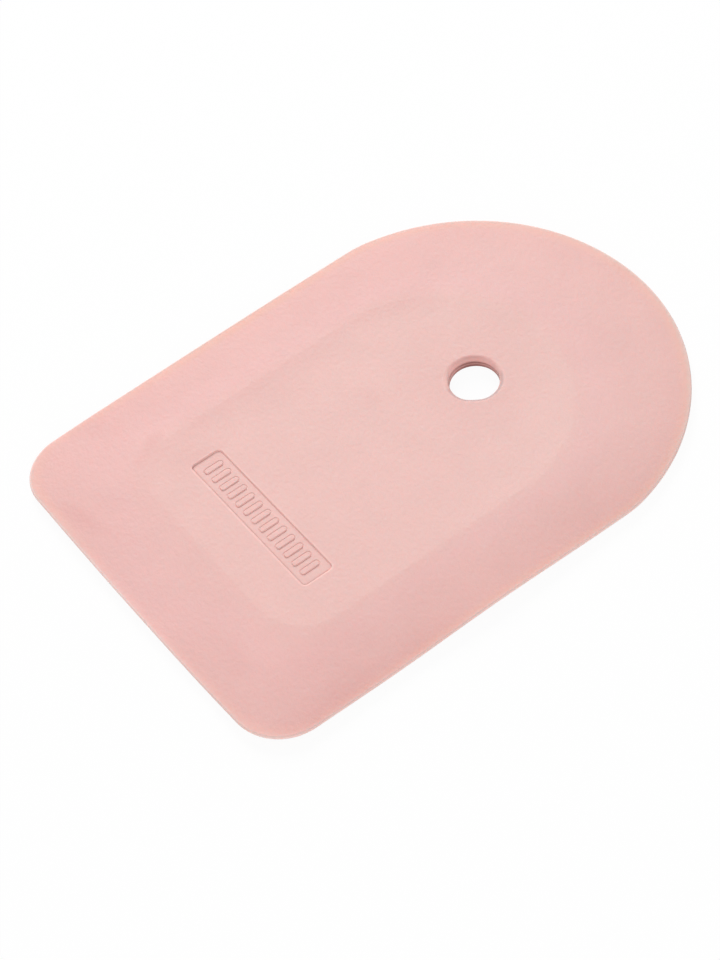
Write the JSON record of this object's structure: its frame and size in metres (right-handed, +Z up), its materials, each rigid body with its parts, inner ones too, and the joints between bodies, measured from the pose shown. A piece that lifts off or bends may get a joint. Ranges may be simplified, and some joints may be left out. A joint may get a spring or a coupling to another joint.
{
  "type": "bowl scraper",
  "caption": "Flat silicone bowl scraper with one straight and one round thin edge, a raised flat middle over a hidden stiff core, and a hanging hole.",
  "frame": {"origin": "under the middle of the scraper's bounding box, on the surface it lies on", "axes": "+X across the width, +Y from the flat end to the round end, +Z up out of the face with the recessed panel"},
  "size_m": [0.1012, 0.1432, 0.0032],
  "materials": {
    "silicone": "matte, finely grained pink silicone",
    "core_plastic": "natural off-white nylon, satin"
  },
  "bodies": {
    "root": {"silicone_body": "silicone", "stiffening_core": "core_plastic"}
  },
  "joints": []
}
